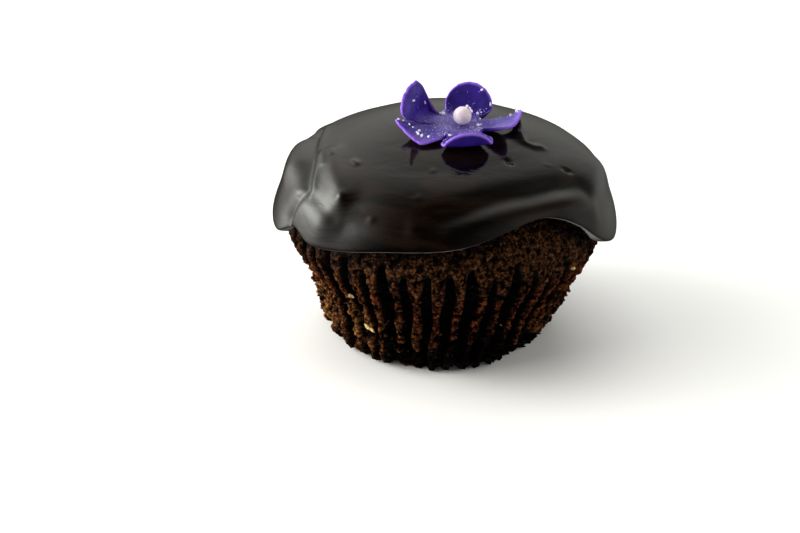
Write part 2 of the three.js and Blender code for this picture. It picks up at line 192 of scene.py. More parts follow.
# Finer marks in the glaze, in the same form: a pinched peak and a crease beside it, a bump, a
# bubble, three parts of the tail where a petal pulled the glaze up, two pits and five specks
MARKS = [
    ([(-163, 26.3), (-152, 28.3)], 0.45, 0.5, 0),
    ([(-164, 25.2), (-154, 25.6)], 0.4, 0.3, 0),
    ([(-131, 32.2), (-130, 32.5)], 0.9, 0.45, 0),
    ([(-141, 24.2), (-137.5, 24.3)], 0.5, 0.45, 0),
    ([(-20, 14.7), (-25, 15.3)], 0.9, 1.8, 0),
    ([(-20, 14.7), (-31, 16.4)], 1.5, 1.1, 0),
    ([(-29, 16), (-34.5, 18.4), (-32, 20.4), (-27.8, 21.5)], 0.8, 0.45, 0),
    ([(-57, 21.1), (-57, 21.6)], 0.6, -0.5, 0),
    ([(-33, 28.3), (-32.6, 28.9)], 0.4, -0.8, 0),
    ([(-98, 22.2), (-98, 22.4)], 0.35, 0.25, 0),
    ([(-102, 29), (-102, 29.2)], 0.35, 0.25, 0),
    ([(-82, 29.1), (-82, 29.3)], 0.3, 0.2, 0),
    ([(-39, 25.3), (-39, 25.5)], 0.3, 0.2, 0),
    ([(-117, 34.8), (-117, 35)], 0.4, 0.3, 0),
]

# Loose crumbs on the wall: how many, their size, where on the ridge between two pleats, their
# lowest, highest and usual height, how far they stand off it as a share of their size, their
# squash, and the height and size of their knobs
CRUMB_COUNT = 420
CRUMB_SIZE = (0.3, 0.85)
CRUMB_RIDGE = (0.32, 0.68)
CRUMB_HEIGHTS = (0.8, 24, 8)
CRUMB_OUT = 0.15
CRUMB_SQUASH = ((0.6, 0.9), (0.7, 1))
CRUMB_KNOBS = (0.9, 0.3)

# Slivers of nut in the wall: azimuth, height, length; their width as a share of that, their
# thickness, how far they may be tilted and their knobs
NUTS = [(-130, 16.8, 2.2), (-124, 9.3, 2.4), (-42, 22.3, 1.7), (-66, 11, 0.8), (25, 12, 2),
        (78, 17, 1.6), (131, 8, 2.1)]
NUT_WIDE = 0.45
NUT_THICK = 0.5
NUT_TILT = 0.5
NUT_KNOBS = (0.35, 0.7)

# Rays that find the wall start this many times the foot's radius out
RAY_START = 2.5

# Flower: its middle, how far it leans forward, its gap over the glaze, its thickness
FLOWER_X = 2.8
FLOWER_Y = -10
FLOWER_LEAN = math.radians(12)
FLOWER_GAP = 0.3
PASTE_THICK = 1.0

# Petals: direction, length, half width, how far the fold is turned off the petal's own
# direction, where it starts to bend up, over what length and how far, the curl of its end,
# the cupping across it, the twist that lifts one side, its straight edges, each as a direction
# and its distance from the middle of the flower, the direction of a slit that parts it from its
# neighbour, which is straight back, at 180, where there is none, how far out the notches on its
# two sides are, how ragged its edge is and how much sugar lies on it
PETALS = [
    dict(at=3, long=12.6, half=3.2, turn=0, start=4, over=5, bend=8, curl=66, cup=0.02,
         twist=-0.24, cuts=[], slit_at=180, notches=(4.4, 4.4), ragged=0.003, dusty=0.8),
    dict(at=75, long=11.4, half=4.7, turn=0, start=3.6, over=4.5, bend=66, curl=16, cup=0.035,
         twist=0, cuts=[], slit_at=180, notches=(4.4, 6.6), ragged=0.003, dusty=0.05),
    dict(at=163, long=17.6, half=5.1, turn=-25, start=6, over=4, bend=76, curl=16, cup=0.03,
         twist=0, cuts=[(-15, 15.9)], slit_at=17.5, notches=(6.6, 4.4), ragged=0.006, dusty=0.5),
    dict(at=198, long=15.4, half=5.2, turn=-20, start=5, over=6, bend=20, curl=14, cup=0.01,
         twist=-0.24, cuts=[(30, 9.3), (89, 3.2)], slit_at=-17.5, notches=(4.4, 5), ragged=0.004,
         dusty=0.85),
    dict(at=276, long=10.2, half=5, turn=0, start=6, over=1.8, bend=74, curl=0, cup=0,
         twist=0, cuts=[], slit_at=180, notches=(5, 4.4), ragged=0.003, dusty=0),
]
CURL_LONG = 4.5
LIFT_OUT = (3.6, 8.6)
SLIT_IN = 8.2
SLIT_FLARE = math.radians(2.6)
CUT_ROUNDING = 0.9
CUT_LEAST = 0.2
RAGGED_RATES = (37, 61)

# Rolled sheet of the flower: how much thinner it is at its edge, how its rows crowd there, the
# band of painted highlight along its cut edge and how far out that starts, the uneven rolling, as
# height, grain and seeds, and the easing of its skin
EDGE_THINNER = 0.45
ROW_CROWDING = 0.8
EDGE_HIGHLIGHT_BAND = (-0.6, -0.05)
EDGE_HIGHLIGHT_FROM = 4.4
EDGE_HIGHLIGHT_FADE = 2
PASTE_UNEVEN = [(0.1, 3.1, (1.0, 5.0, 9.0)), (0.03, 0.5, (2.0, 6.0, 10.0))]
PASTE_EASING = (1, 0.3)

# Powdered sugar on the flower: where the middle's own share ends, and how patchy it lies
DUSTY_MIDDLE = (3.5, 6.5)
DUST_PLAIN = 0.8
DUST_PATCHY = 0.5
DUST_PATCHES = (3.5, 33.0)

# Sugar pearl, with its faint bumps as height and rate
PEARL_RADIUS = 1.75
PEARL_GAP = 0.1
PEARL_BUMPS = [(0.012, 0.9), (0.004, 4)]

# Sugar: clusters of grains on the petals, as the petal, the distance out, the angle from the
# petal's middle line and how many, with how far they scatter and how far from the edges they
# stay; grains on the pearl, as azimuth and elevation
SUGAR_CLUSTERS = [(3, 12.7, -17, 2), (3, 11.6, -16, 1), (3, 10.6, -13, 1), (3, 9.9, -9, 1),
                  (3, 8.8, -2, 3), (3, 8.3, 5, 3), (3, 7.4, 13, 2), (2, 5.3, -27, 4), (1, 9.6, -30, 3),
                  (1, 10.6, -12, 2), (2, 13, -2, 1), (2, 10.5, -16, 2), (0, 3.2, -9, 3), (0, 11.8, 4, 2),
                  (0, 9.6, 12, 1), (0, 5.4, 24, 2), (1, 5.4, -26, 2), (4, 5, -36, 2)]
CLUSTER_TURN = 2.5
CLUSTER_WIDE = 0.35
SECTOR_MARGIN = 2
REACH_MARGIN = 0.4
COARSE_GRAIN = (0.28, 0.5)
COARSE_LIFT = 0.1
PEARL_GRAINS = [(20, 62), (8, 44), (-12, 30)]
PEARL_GRAIN_LIFT = 0.2
GRAIN_SQUASH = ((0.7, 1), (0.6, 1))
GRAIN_BEVEL = 0.05

# Fine grains: size, how many are strewn, how far out they lie thick and the share that goes further
FINE_GRAIN = (0.08, 0.17)
FINE_GRAINS = 520
FINE_SPREAD = 0.9
FINE_REACH = 7.5
FINE_FURTHER = 0.12

# Camera, fitted to the photograph's outlines: place in the drawing, pitch below the horizon
CAMERA_PLACE = Vector((-9.08, -196.69, 111.78))
CAMERA_PITCH = math.radians(27)
CAMERA_LENS = 45.9
CAMERA_SENSOR = 36
CAMERA_NEAREST = 0.01

# Studio, in metres: the light from all round, its glows as the way to each, how narrow it is
# and its brightness, and soft boxes that light the floor and the crumb but don't show in the
# gloss. The camera sees plain pale air instead of the room.
FLOOR_HALF = 4
ROOM_TINT = "#fdfdf7"
AIR_TINT = "#fcfcfd"
ROOM_DARK = 0.035
ROOM_GLOWS = [((0, 0.8, 0.6), 7, 1.1), ((0, 0.45, 0.89), 9, 0.45), ((-0.95, 0.2, 0.28), 6, 5),
              ((-0.93, 0.12, 0.35), 30, 7), ((0.95, -0.25, 0.1), 4, 0.6),
              ((0.75, 0.66, 0.05), 12, 0.5), ((0, 0, -1), 10, 2.5)]
SOFT_BOX_AIM = (0, 0, 0.02)
SOFT_BOXES = [("left_window", (-0.5, -0.05, 0.14), (0.5, 0.4), 5, "#fffcf7"),
              ("right_window", (0.85, -0.1, 0.42), (0.6, 0.5), 3.6, "#fffdf8"),
              ("overhead", (0, 0.3, 0.9), (0.9, 0.9), 1.35, "#ffffff"),
              ("front_fill", (0.1, -0.9, 0.5), (0.9, 0.6), 0.2, "#ffffff")]


def smooth(x, start, end):
    """Rises from nought at start to one at end, smoothly."""
    t = np.clip((x - start) / (end - start), 0, 1)
    return t * t * (3 - 2 * t)


def bell(x):
    """One at nought, falling smoothly to nearly nought by two on both sides."""
    return np.exp(-np.square(x))


def turn_between(a, b):
    """The turn from b to a in degrees, by the shorter way."""
    return (np.asarray(a) - b + 180) % 360 - 180


def curve_through(points):
    """A smooth curve through points given as (place, value, value, ...)."""
    table = np.array(points, float)
    places, values = table[:, 0], table[:, 1:]
    order = np.arange(len(table))
    before, after = np.maximum(order - 1, 0), np.minimum(order + 1, order[-1])
    slopes = (values[after] - values[before]) / (places[after] - places[before])[:, None]

    def at(place):
        place = np.asarray(place, float)
        i = np.clip(np.searchsorted(places, place) - 1, 0, len(places) - 2)
        span = places[i + 1] - places[i]
        t = np.clip((place - places[i]) / span, 0, 1)[..., None]
        span = span[..., None]
        return ((2 * t**3 - 3 * t**2 + 1) * values[i] + (t**3 - 2 * t**2 + t) * span * slopes[i]
                + (3 * t**2 - 2 * t**3) * values[i + 1] + (t**3 - t**2) * span * slopes[i + 1])

    return at


def outline(points):
    """A curve through (radius, height) points, read by the distance along it, and its length."""
    steps = np.hypot(*np.diff(np.array(points, float), axis=0).T)
    far = np.concatenate([[0], np.cumsum(steps)])
    return curve_through([(f, *p) for f, p in zip(far, points)]), far[-1]


# The dome's outline, eased a little so that the gloss shows no kinks, with its slant
dome_curve, dome_long = outline(DOME)
dome_far = np.linspace(0, dome_long, DOME_STEPS)
dome_r, dome_z = dome_curve(dome_far).T


def eased(values, mirror):
    """Values along the dome's outline, eased. Past the top they carry on mirrored or negated."""
    step = dome_far[1]
    reach = int(EASE_REACH * DOME_EASE / step)
    kernel = bell(np.arange(-reach, reach + 1) * step / DOME_EASE)
    before = mirror * values[reach:0:-1]
    after = 2 * values[-1] - values[-2:-reach - 2:-1]
    return np.convolve(np.concatenate([before, values, after]), kernel / kernel.sum(), "valid")


dome_r, dome_z = eased(dome_r, -1), eased(dome_z, 1)
dome_slant = np.unwrap(np.arctan2(np.gradient(dome_z), np.gradient(dome_r)))


def ring_points(radius, azimuth, height):
    """Points round the cake's axis."""
    a = np.radians(azimuth)
    return np.stack(np.broadcast_arrays(radius * np.cos(a), radius * np.sin(a), height), -1)


def under_dome(far, azimuth, deep):
    """A point under the dome's outside, by the distance from the top along it."""
    slant = np.interp(far, dome_far, dome_slant)
    radius = np.interp(far, dome_far, dome_r) + np.sin(slant) * deep
    height = np.interp(far, dome_far, dome_z) - np.cos(slant) * deep
    return ring_points(np.maximum(radius, 0), azimuth, height)


rim_curve = curve_through([(a + turn, z) for turn in (-360, 0, 360) for a, z in RIM])


def rim_distance(azimuth):
    """How far along the dome from its top the glaze ends."""
    height = rim_curve(turn_between(azimuth, 0))[..., 0]
    return np.interp(-height, -dome_z, dome_far)


def rolled_out(azimuth, far):
    """Where a spot of the dome goes when the dome is rolled out flat."""
    a = np.radians(azimuth)
    return np.stack(np.broadcast_arrays(far * np.cos(a), far * np.sin(a)), -1)


def fold_height(place, fold):
    """How high a fold or a mark of the glaze stands at places on the rolled-out dome."""
    path, wide, high, acts_on = fold
    stops = [rolled_out(*stop) for stop in path]
    nearest = np.full(place.shape[:-1], np.inf)
    side = np.ones(place.shape[:-1])
    for start, end in zip(stops, stops[1:]):
        along = end - start
        offset = place - start
        t = np.clip(offset @ along / (along @ along), 0, 1)
        away = np.linalg.norm(offset - t[..., None] * along, axis=-1)
        closer = away < nearest
        nearest = np.where(closer, away, nearest)
        cross = np.sign(along[0] * offset[..., 1] - along[1] * offset[..., 0])
        side = np.where(closer, cross, side)
    share = smooth(nearest * side * acts_on, -STEP_WIDE, STEP_WIDE) if acts_on else 1
    return high * share * bell(nearest / wide)


def glaze_relief(far, azimuth):
    """How high all the folds and marks stand together."""
    place = rolled_out(azimuth, far)
    return sum(fold_height(place, fold) for fold in FOLDS + MARKS)


# Closed skins

# How close two vertices are joined, how steeply a clump rises, how a seed shifts its noise
JOIN = 0.001
CLUMP_STEEPNESS = 1.6
SEED_WAY = np.array([1, 0.7, 1.3])


def cut_skin(rows, columns):
    """A flat grid that stands for a closed skin cut open down one side, with the row and the
    azimuth that each vertex stands for. The first and the last row are the skin's poles."""
    bm = bmesh.new()
    bmesh.ops.create_grid(bm, x_segments=columns, y_segments=rows - 1, size=1)
    place = np.array([v.co for v in bm.verts])
    row = np.rint((place[:, 1] + 1) / 2 * (rows - 1)).astype(int)
    return bm, row, place[:, 0] * 180


def close_skin(bm, points, measures=None):
    """Moves each vertex to its own point, keeps its measures for the material, and joins the
    cut and the poles."""
    for vert, point in zip(bm.verts, (points * MM).tolist()):
        vert.co = point
    for name, values in (measures or {}).items():
        layer = bm.verts.layers.float.new(name)
        for vert, value in zip(bm.verts, np.clip(values, 0, 1).tolist()):
            vert[layer] = value
    bmesh.ops.remove_doubles(bm, verts=list(bm.verts), dist=JOIN * MM)


def ease(bm, times, factor):
    """Smooths a skin a little, the given number of times."""
    for _ in range(times):
        bmesh.ops.smooth_vert(bm, verts=list(bm.verts), factor=factor, use_axis_x=True,
                              use_axis_y=True, use_axis_z=True)


def finish_piece(bm, name, smooth_faces=True):
    """Turns a bmesh into a named object whose faces point outwards."""
    bmesh.ops.recalc_face_normals(bm, faces=list(bm.faces))
    mesh = bpy.data.meshes.new(name)
    bm.to_mesh(mesh)
    bm.free()
    for face in mesh.polygons:
        face.use_smooth = smooth_faces
    piece = bpy.data.objects.new(name, mesh)
    bpy.context.scene.collection.objects.link(piece)
    return piece


def noise_at(points, grain, seed):
    """Soft noise from about -1 to 1 at each point, with bumps about one grain across."""
    spots = (points / grain + seed * SEED_WAY).tolist()
    return np.array([noise.noise(spot) for spot in spots])


def clumps_at(points, grain, seed):
    """Rounded clumps a grain apart: one in the middle of each clump, nought between them."""
    spots = (points / grain + seed * SEED_WAY).tolist()
    nearest, second = np.array([noise.voronoi(spot)[0][:2] for spot in spots]).T
    return np.clip((second - nearest) * CLUMP_STEEPNESS, 0, 1)


def random_pose(place, squash):
    """A lump's place, turned anyhow and squashed by chance on two of its sides."""
    angle = random.uniform(0, math.tau)
    axis = Vector((random.gauss(0, 1), random.gauss(0, 1), random.gauss(0, 1))).normalized()
    turn = Matrix.Rotation(angle, 4, axis)
    sides = [random.uniform(*limits) for limits in squash]
    return Matrix.Translation(place) @ turn @ Matrix.Diagonal((1, *sides, 1))


def add_lump(bm, pose, across, detail, knobs):
    """Adds a ball in a pose and draws its surface in and out, in knobs of a height and a size."""
    height, size = knobs
    middle = pose.translation
    made = bmesh.ops.create_icosphere(bm, subdivisions=detail, radius=across / 2 * MM, matrix=pose)
    for vert in made["verts"]:
        away = vert.co - middle
        vert.co = middle + away * (1 + height * noise.noise(vert.co / (size * MM)))


# Glaze

def glaze_piece():
    """The glaze as one shell, down its outside, round its lip and back up its inside."""
    outer_rows, lip_rows, inner_rows = 150, 12, 10
    columns = 520
    bm, row, azimuth = cut_skin(outer_rows + lip_rows + inner_rows + 2, columns)
    half = GLAZE_THICK / 2
    edge = rim_distance(azimuth) - half
    share = np.clip(row / outer_rows, 0, 1)
    lip_share = np.clip((row - outer_rows) / (lip_rows + 1), 0, 1)
    inner_share = np.clip((row - outer_rows - lip_rows - 1) / inner_rows, 0, 1)
    turn = np.pi * lip_share
    over = np.sin(turn) ** LIP_SQUARE
    under = np.abs(np.cos(turn)) ** LIP_SQUARE * np.sign(np.cos(turn))
    far = edge * share + half * over - edge * inner_share
    relief = glaze_relief(far, azimuth)
    heavy = bell(turn_between(azimuth, HEAVY_AT) / HEAVY_SPREAD)
    bulge = LIP_BULGE * heavy * bell((far - edge + half) / LIP_WIDE)
    fade = (1 + under) / 2
    deep = half - half * under - (relief + bulge) * fade
    close_skin(bm, under_dome(far, azimuth, deep) + SHIFT)
    ease(bm, *GLAZE_EASING)
    return finish_piece(bm, "glaze_coat")


# Cake

def cake_outline():
    """The cake's outline from the foot up the wall and on under the glaze, and its length."""
    shoulder = []
    for radius in SHOULDER_RADII:
        far = np.interp(radius, dome_r, dome_far)
        x, _, z = under_dome(far, 0, GLAZE_THICK + GLAZE_GAP)
        shoulder.append((x, z))
    return outline(WALL + shoulder)


def pleat_depth(azimuth, height):
    """How deep the wall is pressed in by the pleats of the paper case."""
    turn = (azimuth + 90) * PLEATS / 360
    pleat = np.rint(turn)
    uneven = np.sin(pleat % PLEATS * UNEVEN_STEP)
    wander = WANDER * np.sin(height * WANDER_RISE + pleat % PLEATS * WANDER_STEP)
    phase = np.abs(turn - pleat + wander)
    top = PLEAT_TOP
    for at, spread, rise in PLEAT_RISES:
        top = top + rise * bell(turn_between(azimuth, at) / spread)
    top = top + UNEVEN_TOP * uneven
    pointed = np.clip((top - height) / PLEAT_POINT, POINT_LEAST, 1) ** 0.5
    wide = PLEAT_HALF_WIDTH * (1 + UNEVEN_WIDTH * uneven) * pointed
    across = 1 - smooth(phase, PLEAT_FLAT * wide, wide)
    by_foot = PLEAT_AT_FOOT + (1 - PLEAT_AT_FOOT) * smooth(height, 0, PLEAT_FOOT_FADE)
    along = (1 - smooth(height, top - PLEAT_TOP_FADE, top)) * by_foot
    return PLEAT_DEPTH * (1 + UNEVEN_DEPTH * uneven) * along * across


def tear_depth(azimuth, height):
    """How much of the wall the paper tore off."""
    tears = [most * bell(turn_between(azimuth, at) / wide) * bell((height - z) / TEAR_TALL)
             for at, z, wide, most in TEARS]
    return np.max(tears, axis=0)


def crumb_relief(flat, height, tear, bare):
    """How deep the wall is torn, how deep its open crumb is and how high its lumps stand."""
    chunks, clumps, crumbs = (clumps_at(flat, *form) for form in (CHUNKS, CLUMPS, CRUMBS))
    lumps, grain, grit = (noise_at(flat, *form) for form in (LUMPS, GRAIN, FINE_GRIT))
    pores = smooth(noise_at(flat, *PORES), *PORE_EDGE)
    breaks = smooth(noise_at(flat * BREAK_TALL, *BREAKS), *BREAK_EDGE)
    broken = breaks * (1 - smooth(height, *BREAK_HEIGHTS))
    torn = np.maximum(tear * (TEAR_PLAIN + TEAR_CHUNKS * (1 - chunks) + TEAR_LUMPS * lumps), 0)
    crumbly = bare * (CLUMP_DEPTH * (CLUMP_LEVEL - clumps) + CRUMB_DEPTH * (CRUMB_LEVEL - crumbs)
                      - GRIT_HEIGHT * grit + PORE_DEPTH * pores
                      + BREAK_DEPTH * broken * (BREAK_LEVEL - clumps))
    rolling = bare * (LUMP_HEIGHT * lumps + GRAIN_HEIGHT * grain)
    return torn, crumbly, rolling


def cake_piece():
    """The sponge cake, and its skin as a tree that rays can hit."""
    wall_rows, hidden_rows = 118, 9
    columns = 760
    curve, long = cake_outline()
    # Rows nought, one and two are the foot's middle, its flat part and its edge
    bm, row, azimuth = cut_skin(wall_rows + hidden_rows + 3, columns)
    wall_end = outline(WALL)[1] + UNDER_GLAZE
    share = np.clip((row - 2) / wall_rows, 0, 1)
    hidden_share = np.clip((row - 2 - wall_rows) / hidden_rows, 0, 1)
    radius, height = curve(wall_end * share + (long - wall_end) * hidden_share).T
    radius = np.where(row == 1, FOOT_RADIUS, radius)
    radius = np.where(row == 0, 0, radius)
    flat = ring_points(radius, azimuth, height)
    lean = LEAN * (smooth(height, 0, LEAN_HEIGHT) - 1)
    seen = (row > 1) & (hidden_share == 0)

    tear = tear_depth(azimuth, height)
    bared = tear.clip(0, 1)
    skin = smooth(height, *SKIN_HEIGHTS) * (1 - bared)
    pressed = pleat_depth(azimuth, height) * (1 - TEAR_OVER_PLEAT * bared)
    torn, crumbly, rolling = crumb_relief(flat, height, tear, 1 - SKIN_EVENS * skin)
    covered = smooth(height, *COVER_HEIGHTS)
    furthest_out = -COVERED_OUT * covered - MOST_OUT * (1 - covered)
    inward = np.maximum(pressed + torn + crumbly - rolling, furthest_out) * seen
    points = ring_points(np.maximum(radius - inward, 0), azimuth, height)
    points[:, 0] += lean

    # Painted shade: the wall is darkened towards the foot, where it lies in shade, except where it tore
    foot = (1 - smooth(height, *FOOT_SHADE_HEIGHTS)) * (1 - bared)
    # Painted shade: a band just under the glaze's edge, where the glaze shades the wall, is darkened
    rim = rim_curve(azimuth)[..., 0]
    shade_from, shade_to = SHADE_BELOW_RIM
    under_glaze_shade = smooth(height, rim - shade_from, rim - shade_to)
    # The first measure is the crumb's plain tone, with painted shade in its hollows, at the foot and
    # under the glaze
    close_skin(bm, points + SHIFT, {
        "tone_and_painted_shade": (DARK_PLAIN + HOLLOW_SHADE * crumbly + FOOT_SHADE * foot + SHADE_UNDER_GLAZE * under_glaze_shade
                   - PALER_TORN * bared),
        "pleat": pressed / PLEAT_DEPTH * (1 - TORN_HIDES_PLEAT * bared),
        "crust": skin,
        "torn": TORN_SHOWS * tear})
    wall = BVHTree.FromBMesh(bm)
    return finish_piece(bm, "sponge_cake"), wall


def wall_spot(wall, azimuth, height, out=0.0):
    """A point on the cake's wall, or off it, and the way from the cake's axis to it."""
    facing = Vector(ring_points(1.0, azimuth, 0.0))
    aim = Vector((SHIFT[0], SHIFT[1], height)) * MM
    spot, _, _, _ = wall.ray_cast(aim + facing * FOOT_RADIUS * RAY_START * MM, -facing)
    return spot + facing * out * MM, facing


def crumb_piece(wall):
    """Crumbs that hang loose on the wall, where it broke away from the paper."""
    bm = bmesh.new()
    for _ in range(CRUMB_COUNT):
        size = random.uniform(*CRUMB_SIZE)
        ridge = random.randrange(PLEATS) + random.uniform(*CRUMB_RIDGE)
        azimuth, height = ridge * 360 / PLEATS - 90, random.triangular(*CRUMB_HEIGHTS)
        spot, _ = wall_spot(wall, azimuth, height, size * CRUMB_OUT)
        add_lump(bm, random_pose(spot, CRUMB_SQUASH), size, detail=2, knobs=CRUMB_KNOBS)
    return finish_piece(bm, "loose_crumbs")


def nut_piece(wall):
    """Slivers of nut that show in the torn wall."""
    bm = bmesh.new()
    for azimuth, height, long in NUTS:
        spot, facing = wall_spot(wall, azimuth, height)
        turn = facing.to_track_quat("Z", "Y").to_matrix().to_4x4()
        tilt = Matrix.Rotation(random.uniform(-NUT_TILT, NUT_TILT), 4, "Z")
        stretch = Matrix.Diagonal((long, long * NUT_WIDE, NUT_THICK, 1))
        pose = Matrix.Translation(spot) @ turn @ tilt @ stretch
        add_lump(bm, pose, across=1, detail=3, knobs=NUT_KNOBS)
    return finish_piece(bm, "nut_slivers")


# Flower

def bent_petal(petal, far, angle):
    """Where spots of a rolled-out petal go once it is bent, and which way they face."""
    turned = angle - math.radians(petal["turn"])
    out, across = far * np.cos(turned), far * np.sin(turned)
    steps = 24
    start, long = petal["start"], petal["long"]
    x, z = np.minimum(out, start), np.zeros_like(out)
    slope = np.zeros_like(out)
    step = np.maximum(out - start, 0) / steps
    for i in range(steps):
        here = start + step * (i + 0.5)
        curl = petal["curl"] * smooth(here, long - CURL_LONG, long)
        slope = np.radians(petal["bend"] * smooth(here, start, start + petal["over"]) + curl)
        x = x + step * np.cos(slope)
        z = z + step * np.sin(slope)
    lift = smooth(out, *LIFT_OUT) * (petal["cup"] * across**2 + petal["twist"] * across)
    spot = np.stack([x - np.sin(slope) * lift, across, z + np.cos(slope) * lift], -1)
    up = np.stack([-np.sin(slope), np.zeros_like(slope), np.cos(slope)], -1)
    return spot, up


def petal_reach(petal, angle):
    """How far out a petal reaches at an angle from its middle line."""
    middle = petal["long"] - petal["half"]
    turned = np.sin(angle) * middle
    blade = np.cos(angle) * middle + np.sqrt(np.maximum(petal["half"] ** 2 - turned**2, 0))
    notch = np.where(angle < 0, *petal["notches"])
    rounded = np.where(np.abs(turned) < petal["half"], blade, notch)
    for direction, off in petal["cuts"]:
        cut = off / np.cos(angle - math.radians(direction)).clip(CUT_LEAST, 1)
        rounded = -CUT_ROUNDING * np.logaddexp(-rounded / CUT_ROUNDING, -cut / CUT_ROUNDING)
    coarse, fine = RAGGED_RATES
    ragged = 1 + petal["ragged"] * (np.sin(angle * coarse + petal["at"]) + np.sin(angle * fine))
    away = np.abs(angle - math.radians(petal["slit_at"]))
    slit = SLIT_IN + petal["long"] * smooth(away, 0, SLIT_FLARE)
    return np.maximum(notch, np.minimum(rounded * ragged, slit))


def glaze_height(x, y):
    """How high the glaze's outside is above a spot."""
    radius, azimuth = math.hypot(x, y), math.degrees(math.atan2(y, x))
    far = np.interp(radius, dome_r, dome_far)
    return under_dome(far, azimuth, -glaze_relief(np.array(far), azimuth))[2]


def place_on_flower(petal, spots):
    """Turns a petal's spots to its direction and sets them on the leaning flower."""
    direction = math.radians(petal["at"] + petal["turn"])
    turn = Matrix.Rotation(FLOWER_LEAN, 3, "X") @ Matrix.Rotation(direction, 3, "Z")
    base = glaze_height(FLOWER_X, FLOWER_Y) + FLOWER_GAP + PASTE_THICK / 2
    return spots @ np.array(turn).T + (FLOWER_X, FLOWER_Y, base)


def petal_sectors():
    """For each petal, the angles from its middle line to the notches on both sides."""
    ways = [petal["at"] for petal in PETALS]
    return [(turn_between(ways[i - 1], way) / 2, turn_between(ways[(i + 1) % len(ways)], way) / 2)
            for i, way in enumerate(ways)]


# The drawing is shifted so that its pearl lies where the CAD's pearl is
PEARL_UP = PASTE_THICK / 2 + PEARL_RADIUS + PEARL_GAP
PEARL_DRAWN = place_on_flower(PETALS[0], np.array([[0, 0, PEARL_UP]]))[0]
PEARL_LOW, PEARL_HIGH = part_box("pearl")
SHIFT = np.array((PEARL_LOW + PEARL_HIGH) / 2) / MM - PEARL_DRAWN


def flower_piece():
    """All five petals as one sheet, out over its upper face, round its edge and back below."""
    rings, rim_rows = 34, 6
    per_petal = 76
    bm, row, azimuth = cut_skin(2 * rings + rim_rows + 1, per_petal * len(PETALS))
    column = (azimuth + 180) / 360 * len(PETALS)
    rounding = 1e-6
    which = np.floor(column + rounding).astype(int)
    across = (column - which).clip(0, 1)
    which = which % len(PETALS)
    across = (1 - np.cos(np.pi * across)) / 2
    turn = np.pi * np.clip((row - rings) / rim_rows, 0, 1)
    share = np.where(row <= rings, row, 2 * rings + rim_rows - row).clip(0, rings) / rings
    share = share ** ROW_CROWDING
    points = np.zeros((len(row), 3))
    edge, dust = np.zeros(len(row)), np.zeros(len(row))
    for i, (petal, (left, right)) in enumerate(zip(PETALS, petal_sectors())):
        mine = which == i
        angle = np.radians(left + (right - left) * across[mine])
        reach = petal_reach(petal, angle)
        half = PASTE_THICK / 2 * (1 - EDGE_THINNER * share[mine] ** 3)
        far = (reach - half) * share[mine] + half * np.sin(turn[mine])
        spot, up = bent_petal(petal, far, angle)
        points[mine] = place_on_flower(petal, spot + up * (half * np.cos(turn[mine]))[:, None])
        # A band of painted highlight along each petal's cut edge
        edge[mine] = smooth(far - reach, *EDGE_HIGHLIGHT_BAND) * smooth(reach, EDGE_HIGHLIGHT_FROM, EDGE_HIGHLIGHT_FROM + EDGE_HIGHLIGHT_FADE)
        dust[mine] = 1 + (petal["dusty"] - 1) * smooth(far, *DUSTY_MIDDLE)
    for high, grain, seeds in PASTE_UNEVEN:
        points += high * np.stack([noise_at(points, grain, seed) for seed in seeds], -1)
    dust *= (row < rings) * (DUST_PLAIN + DUST_PATCHY * noise_at(points, *DUST_PATCHES))
    close_skin(bm, points + SHIFT, {"rim": edge, "dust": dust})
    ease(bm, *PASTE_EASING)
    return finish_piece(bm, "paste_flower")


def reach_at(number, degrees):
    """How far out a petal reaches, by its number and the angle from its middle line."""
    return float(petal_reach(PETALS[number], math.radians(degrees)))


def spot_on_petal(number, far, degrees, lift=0.0):
    """A spot above a petal's upper face, by its distance from the middle of the flower and its
    angle from the petal's middle line."""
    petal = PETALS[number]
    angle = np.radians(np.array([degrees], float))
    spot, up = bent_petal(petal, np.array([far], float), angle)
    placed = place_on_flower(petal, spot + up * (PASTE_THICK / 2 + lift))
    return Vector(placed[0] + SHIFT) * MM


def sugar_piece():
    """Grains of sugar: clusters of coarse ones, and finer ones strewn over the flower."""
    bm = bmesh.new()
    grains = []
    sectors = petal_sectors()
    for number, far, middle, count in SUGAR_CLUSTERS:
        left, right = sectors[number]
        for _ in range(count):
            degrees = max(middle + random.gauss(0, CLUSTER_TURN), left + SECTOR_MARGIN)
            degrees = min(degrees, right - SECTOR_MARGIN)
            out = min(far + random.gauss(0, CLUSTER_WIDE), reach_at(number, degrees) - REACH_MARGIN)
            place = spot_on_petal(number, out, degrees, COARSE_LIFT)
            grains.append((place, random.uniform(*COARSE_GRAIN)))
    for _ in range(FINE_GRAINS):
        number = random.randrange(len(PETALS))
        left, right = sectors[number]
        degrees = random.uniform(left, right)
        far = reach_at(number, degrees) * math.sqrt(random.uniform(0, FINE_SPREAD))
        if far < FINE_REACH or random.random() < FINE_FURTHER:
            grains.append((spot_on_petal(number, far, degrees), random.uniform(*FINE_GRAIN)))
    for degrees, elevation in PEARL_GRAINS:
        up = math.radians(elevation)
        way = Vector(ring_points(math.cos(up), degrees, math.sin(up)))
        place = (Vector(PEARL_DRAWN + SHIFT) + way * (PEARL_RADIUS + PEARL_GRAIN_LIFT)) * MM
        grains.append((place, COARSE_GRAIN[1]))
    for place, size in grains:
        bmesh.ops.create_cube(bm, size=size * MM, matrix=random_pose(place, GRAIN_SQUASH))
    bmesh.ops.bevel(bm, geom=list(bm.edges), offset=GRAIN_BEVEL * MM, offset_type="OFFSET", segments=1,
                    profile=0.5, affect="EDGES", material=-1)
    return finish_piece(bm, "sugar_grains", smooth_faces=False)


